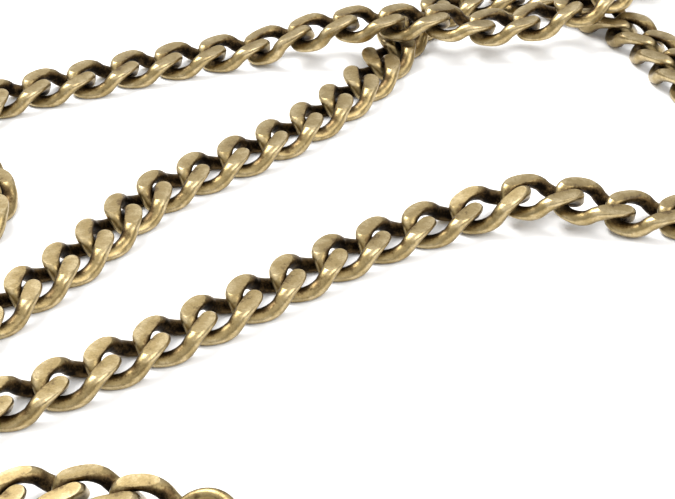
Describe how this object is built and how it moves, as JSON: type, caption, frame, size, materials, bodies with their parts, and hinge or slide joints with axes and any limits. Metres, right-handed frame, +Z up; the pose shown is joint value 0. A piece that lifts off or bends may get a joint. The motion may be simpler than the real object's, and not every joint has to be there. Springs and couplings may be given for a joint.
{
  "type": "pocket watch chain",
  "caption": "Gentleman's curb watch chain of ground-flat twisted links, lying in loose folds, with a toggle bar at one end and a swivel snap at the other",
  "frame": {"origin": "middle of the laid-out chain's footprint, on the table it lies on", "axes": "X across the folds, left to right as first seen; Y away from the viewer, toward the toggle bar; Z up from the table"},
  "size_m": [0.0996, 0.118, 0.0049],
  "materials": {
    "link_brass": "antique brass, satin worn flats over a dark brown patina",
    "fitting_brass": "antique brass, satin worn over a dark brown patina",
    "pin_brass": "dark patinated brass"
  },
  "bodies": {
    "links_01_02": {"links_01_02": "link_brass"},
    "links_03_04": {"links_03_04": "link_brass"},
    "links_05_06": {"links_05_06": "link_brass"},
    "links_07_08": {"links_07_08": "link_brass"},
    "links_09_10": {"links_09_10": "link_brass"},
    "links_11_12": {"links_11_12": "link_brass"},
    "links_13_14": {"links_13_14": "link_brass"},
    "links_15_16": {"links_15_16": "link_brass"},
    "links_17_18": {"links_17_18": "link_brass"},
    "links_19_20": {"links_19_20": "link_brass"},
    "links_21_22": {"links_21_22": "link_brass"},
    "links_23_24": {"links_23_24": "link_brass"},
    "links_25_26": {"links_25_26": "link_brass"},
    "links_27_28": {"links_27_28": "link_brass"},
    "links_29_30": {"links_29_30": "link_brass"},
    "links_31_32": {"links_31_32": "link_brass"},
    "links_33_34": {"links_33_34": "link_brass"},
    "links_35_36": {"links_35_36": "link_brass"},
    "links_37_38": {"links_37_38": "link_brass"},
    "links_39_40": {"links_39_40": "link_brass"},
    "links_41_42": {"links_41_42": "link_brass"},
    "links_43_44": {"links_43_44": "link_brass"},
    "links_45_46": {"links_45_46": "link_brass"},
    "links_47_48": {"links_47_48": "link_brass"},
    "links_49_50": {"links_49_50": "link_brass"},
    "links_51_52": {"links_51_52": "link_brass"},
    "links_53_54": {"links_53_54": "link_brass"},
    "links_55_56": {"links_55_56": "link_brass"},
    "links_57_58": {"links_57_58": "link_brass"},
    "links_59_60": {"links_59_60": "link_brass"},
    "links_61_62": {"links_61_62": "link_brass"},
    "links_63_64": {"links_63_64": "link_brass"},
    "links_65_66": {"links_65_66": "link_brass"},
    "links_67_68": {"links_67_68": "link_brass"},
    "links_69_70": {"links_69_70": "link_brass"},
    "links_71_72": {"links_71_72": "link_brass"},
    "links_73_74": {"links_73_74": "link_brass"},
    "links_75_76": {"links_75_76": "link_brass"},
    "links_77_78": {"links_77_78": "link_brass"},
    "links_79_80": {"links_79_80": "link_brass"},
    "links_81_82": {"links_81_82": "link_brass"},
    "links_83_84": {"links_83_84": "link_brass"},
    "links_85_86": {"links_85_86": "link_brass"},
    "links_87_88": {"links_87_88": "link_brass"},
    "links_89_90": {"links_89_90": "link_brass"},
    "links_91_92": {"links_91_92": "link_brass"},
    "links_93_94": {"links_93_94": "link_brass"},
    "links_95_96": {"links_95_96": "link_brass"},
    "links_97_98": {"links_97_98": "link_brass"},
    "toggle_ring": {"toggle_ring": "fitting_brass"},
    "toggle": {"toggle_rod": "fitting_brass", "toggle_balls": "fitting_brass", "toggle_eye": "fitting_brass"},
    "clasp_ring": {"clasp_ring": "fitting_brass"},
    "swivel_eye": {"swivel_eye": "fitting_brass"},
    "clasp": {"clasp_body": "fitting_brass", "gate_pin": "pin_brass", "gate_spring": "pin_brass"},
    "gate": {"clasp_gate": "fitting_brass"}
  },
  "joints": [
    {"name": "links_55_56_bend", "type": "hinge", "parent": "links_57_58", "child": "links_55_56", "pos_m": [0.03286, 0.02374, 0.0011], "axis": [0.9654, 0.2607, 0], "range_deg": [-9, 9]},
    {"name": "links_53_54_bend", "type": "hinge", "parent": "links_55_56", "child": "links_53_54", "pos_m": [0.0296, 0.03207, 0.0011], "axis": [-0.8526, -0.5226, 0], "range_deg": [-9, 9]},
    {"name": "links_51_52_bend", "type": "hinge", "parent": "links_53_54", "child": "links_51_52", "pos_m": [0.02364, 0.03871, 0.0011], "axis": [0.4954, 0.8686, 0], "range_deg": [-9, 0]},
    {"name": "links_49_50_bend", "type": "hinge", "parent": "links_51_52", "child": "links_49_50", "pos_m": [0.01493, 0.03945, 0.0011], "axis": [0.3005, -0.9538, 0], "range_deg": [0, 9]},
    {"name": "links_47_48_bend", "type": "hinge", "parent": "links_49_50", "child": "links_47_48", "pos_m": [0.0083, 0.0338, 0.0011], "axis": [-0.8716, 0.4902, 0], "range_deg": [-9, 0]},
    {"name": "links_45_46_bend", "type": "hinge", "parent": "links_47_48", "child": "links_45_46", "pos_m": [0.00503, 0.02542, 0.0011], "axis": [0.9132, -0.4074, 0], "range_deg": [0, 9]},
    {"name": "links_43_44_bend", "type": "hinge", "parent": "links_45_46", "child": "links_43_44", "pos_m": [0.00042, 0.01771, 0.0011], "axis": [-0.8035, 0.5953, 0], "range_deg": [-9, 0]},
    {"name": "links_41_42_bend", "type": "hinge", "parent": "links_43_44", "child": "links_41_42", "pos_m": [-0.00558, 0.01103, 0.0011], "axis": [0.6719, -0.7406, 0], "range_deg": [0, 9]},
    {"name": "links_39_40_bend", "type": "hinge", "parent": "links_41_42", "child": "links_39_40", "pos_m": [-0.0126, 0.00541, 0.0011], "axis": [-0.6398, 0.7685, 0], "range_deg": [-9, 0]},
    {"name": "links_37_38_bend", "type": "hinge", "parent": "links_39_40", "child": "links_37_38", "pos_m": [-0.01839, -0.00135, 0.0011], "axis": [0.8654, -0.5011, 0], "range_deg": [0, 9]},
    {"name": "links_35_36_bend", "type": "hinge", "parent": "links_37_38", "child": "links_35_36", "pos_m": [-0.02293, -0.00909, 0.0011], "axis": [-0.8099, 0.5866, 0], "range_deg": [-9, 0]},
    {"name": "links_33_34_bend", "type": "hinge", "parent": "links_35_36", "child": "links_33_34", "pos_m": [-0.02838, -0.01625, 0.0011], "axis": [0.821, -0.571, 0], "range_deg": [0, 9]},
    {"name": "links_31_32_bend", "type": "hinge", "parent": "links_33_34", "child": "links_31_32", "pos_m": [-0.03385, -0.02336, 0.0011], "axis": [-0.601, 0.7992, 0], "range_deg": [-9, 0]},
    {"name": "links_29_30_bend", "type": "hinge", "parent": "links_31_32", "child": "links_29_30", "pos_m": [-0.04223, -0.0246, 0.0011], "axis": [0.6901, -0.7237, 0], "range_deg": [0, 5]},
    {"name": "links_27_28_bend", "type": "hinge", "parent": "links_29_30", "child": "links_27_28", "pos_m": [-0.04698, -0.01746, 0.0011], "axis": [-0.9978, -0.067, 0], "range_deg": [-8, 0]},
    {"name": "links_25_26_bend", "type": "hinge", "parent": "links_27_28", "child": "links_25_26", "pos_m": [-0.04327, -0.00972, 0.0011], "axis": [0.6095, -0.7928, 0], "range_deg": [0, 9]},
    {"name": "links_23_24_bend", "type": "hinge", "parent": "links_25_26", "child": "links_23_24", "pos_m": [-0.03511, -0.00605, 0.0011], "axis": [-0.5189, 0.8549, 0], "range_deg": [-9, 0]},
    {"name": "links_21_22_bend", "type": "hinge", "parent": "links_23_24", "child": "links_21_22", "pos_m": [-0.03035, 0.00108, 0.0011], "axis": [0.9972, -0.0749, 0], "range_deg": [0, 9]},
    {"name": "links_19_20_bend", "type": "hinge", "parent": "links_21_22", "child": "links_19_20", "pos_m": [-0.03362, 0.00916, 0.0011], "axis": [-0.409, 0.9125, 0], "range_deg": [-9, 0]},
    {"name": "links_17_18_bend", "type": "hinge", "parent": "links_19_20", "child": "links_17_18", "pos_m": [-0.03514, 0.01766, 0.0011], "axis": [0.945, -0.3271, 0], "range_deg": [0, 6]},
    {"name": "links_15_16_bend", "type": "hinge", "parent": "links_17_18", "child": "links_15_16", "pos_m": [-0.02862, 0.02336, 0.0011], "axis": [-0.3852, 0.9228, 0], "range_deg": [-9, 0]},
    {"name": "links_13_14_bend", "type": "hinge", "parent": "links_15_16", "child": "links_13_14", "pos_m": [-0.02024, 0.0266, 0.0011], "axis": [0.3786, -0.9256, 0], "range_deg": [0, 9]},
    {"name": "links_11_12_bend", "type": "hinge", "parent": "links_13_14", "child": "links_11_12", "pos_m": [-0.01171, 0.02945, 0.0011], "axis": [-0.216, 0.9764, 0], "range_deg": [-9, 0]},
    {"name": "links_09_10_bend", "type": "hinge", "parent": "links_11_12", "child": "links_09_10", "pos_m": [-0.00277, 0.03, 0.00265], "axis": [-0.0122, -0.9999, 0], "range_deg": [0, 9]},
    {"name": "links_07_08_bend", "type": "hinge", "parent": "links_09_10", "child": "links_07_08", "pos_m": [0.00623, 0.03, 0.0036], "axis": [0, 1, 0], "range_deg": [-9, 0]},
    {"name": "links_05_06_bend", "type": "hinge", "parent": "links_07_08", "child": "links_05_06", "pos_m": [0.01523, 0.02999, 0.00265], "axis": [-0.0004, -1, 0], "range_deg": [0, 9]},
    {"name": "links_03_04_bend", "type": "hinge", "parent": "links_05_06", "child": "links_03_04", "pos_m": [0.02409, 0.03099, 0.0036], "axis": [-0.4176, 0.9086, 0], "range_deg": [-9, 0]},
    {"name": "links_01_02_bend", "type": "hinge", "parent": "links_03_04", "child": "links_01_02", "pos_m": [0.03014, 0.03738, 0.00357], "axis": [-0.8594, 0.5113, 0], "range_deg": [-9, 9]},
    {"name": "links_59_60_bend", "type": "hinge", "parent": "links_57_58", "child": "links_59_60", "pos_m": [0.0366, 0.01584, 0.0011], "axis": [-0.6244, -0.7811, 0], "range_deg": [-8, 7]},
    {"name": "links_61_62_bend", "type": "hinge", "parent": "links_59_60", "child": "links_61_62", "pos_m": [0.04467, 0.01192, 0.0011], "axis": [-0.6715, -0.741, 0], "range_deg": [-8, 8]},
    {"name": "links_63_64_bend", "type": "hinge", "parent": "links_61_62", "child": "links_63_64", "pos_m": [0.04738, 0.00375, 0.0011], "axis": [0.9821, -0.1884, 0], "range_deg": [-8, 8]},
    {"name": "links_65_66_bend", "type": "hinge", "parent": "links_63_64", "child": "links_65_66", "pos_m": [0.04199, -0.00303, 0.0011], "axis": [0.4386, -0.8987, 0], "range_deg": [-9, 9]},
    {"name": "links_67_68_bend", "type": "hinge", "parent": "links_65_66", "child": "links_67_68", "pos_m": [0.03316, -0.00459, 0.0011], "axis": [-0.0701, 0.9975, 0], "range_deg": [-9, 9]},
    {"name": "links_69_70_bend", "type": "hinge", "parent": "links_67_68", "child": "links_69_70", "pos_m": [0.02426, -0.00387, 0.00132], "axis": [0.2399, 0.9708, 0], "range_deg": [-9, 9]},
    {"name": "links_71_72_bend", "type": "hinge", "parent": "links_69_70", "child": "links_71_72", "pos_m": [0.01551, -0.00204, 0.00216], "axis": [0.06, -0.9982, 0], "range_deg": [-9, 4]},
    {"name": "links_73_74_bend", "type": "hinge", "parent": "links_71_72", "child": "links_73_74", "pos_m": [0.00698, -0.00478, 0.0011], "axis": [0.4246, -0.9054, 0], "range_deg": [-9, 9]},
    {"name": "links_75_76_bend", "type": "hinge", "parent": "links_73_74", "child": "links_75_76", "pos_m": [-0.00067, -0.0095, 0.0011], "axis": [-0.6054, 0.7959, 0], "range_deg": [-9, 9]},
    {"name": "links_77_78_bend", "type": "hinge", "parent": "links_75_76", "child": "links_77_78", "pos_m": [-0.00763, -0.0152, 0.0011], "axis": [-0.623, 0.7822, 0], "range_deg": [-9, 9]},
    {"name": "links_79_80_swing", "type": "hinge", "parent": "links_77_78", "child": "links_79_80", "pos_m": [-0.01475, -0.02071, 0.0011], "axis": [0, 0, -1], "range_deg": [-7, 7]},
    {"name": "links_81_82_bend", "type": "hinge", "parent": "links_79_80", "child": "links_81_82", "pos_m": [-0.02213, -0.02585, 0.0011], "axis": [0.5181, -0.8553, 0], "range_deg": [-9, 9]},
    {"name": "links_83_84_swing", "type": "hinge", "parent": "links_81_82", "child": "links_83_84", "pos_m": [-0.03011, -0.03, 0.0011], "axis": [0, 0, 1], "range_deg": [-7, 7]},
    {"name": "links_85_86_bend", "type": "hinge", "parent": "links_83_84", "child": "links_85_86", "pos_m": [-0.03857, -0.03303, 0.0011], "axis": [-0.3728, 0.9279, 0], "range_deg": [-9, 9]},
    {"name": "links_87_88_swing", "type": "hinge", "parent": "links_85_86", "child": "links_87_88", "pos_m": [-0.04594, -0.03796, 0.0011], "axis": [0, 0, -1], "range_deg": [-7, 7]},
    {"name": "links_89_90_bend", "type": "hinge", "parent": "links_87_88", "child": "links_89_90", "pos_m": [-0.04701, -0.04649, 0.0011], "axis": [0.9252, 0.3796, 0], "range_deg": [-7, 8]},
    {"name": "links_91_92_swing", "type": "hinge", "parent": "links_89_90", "child": "links_91_92", "pos_m": [-0.04027, -0.05188, 0.0011], "axis": [0, 0, 1], "range_deg": [-7, 6]},
    {"name": "links_93_94_bend", "type": "hinge", "parent": "links_91_92", "child": "links_93_94", "pos_m": [-0.03237, -0.04862, 0.0011], "axis": [0.7774, -0.629, 0], "range_deg": [-9, 9]},
    {"name": "links_95_96_swing", "type": "hinge", "parent": "links_93_94", "child": "links_95_96", "pos_m": [-0.02779, -0.04093, 0.0011], "axis": [0, 0, -1], "range_deg": [-7, 7]},
    {"name": "links_97_98_bend", "type": "hinge", "parent": "links_95_96", "child": "links_97_98", "pos_m": [-0.0195, -0.03876, 0.00143], "axis": [0.205, 0.9788, 0], "range_deg": [-9, 9]},
    {"name": "toggle_ring_turn", "type": "hinge", "parent": "links_01_02", "child": "toggle_ring", "pos_m": [0.03431, 0.04624, 0.002], "axis": [-0.7054, 0.2988, -0.6428], "range_deg": [-20, 20]},
    {"name": "toggle_turn", "type": "hinge", "parent": "toggle_ring", "child": "toggle", "pos_m": [0.03572, 0.04955, 0.002], "axis": [-0.7354, 0.3115, 0.6018], "range_deg": [-25, 25]},
    {"name": "clasp_ring_turn", "type": "hinge", "parent": "links_97_98", "child": "clasp_ring", "pos_m": [-0.01083, -0.04323, 0.002], "axis": [0.3959, 0.6558, -0.6428], "range_deg": [-20, 20]},
    {"name": "swivel_eye_turn", "type": "hinge", "parent": "clasp_ring", "child": "swivel_eye", "pos_m": [-0.00775, -0.04509, 0.002], "axis": [0.4128, 0.6837, 0.6018], "range_deg": [-25, 25]},
    {"name": "clasp_swivel", "type": "hinge", "parent": "swivel_eye", "child": "clasp", "pos_m": [-0.00308, -0.04791, 0.002], "axis": [0.8561, -0.5169, 0], "continuous": true},
    {"name": "gate_open", "type": "hinge", "parent": "clasp", "child": "gate", "pos_m": [0.0021, -0.04882, 0.002], "axis": [0, 0, 1], "range_deg": [-42, 0], "stiffness_Nm_per_rad": 0.002}
  ]
}
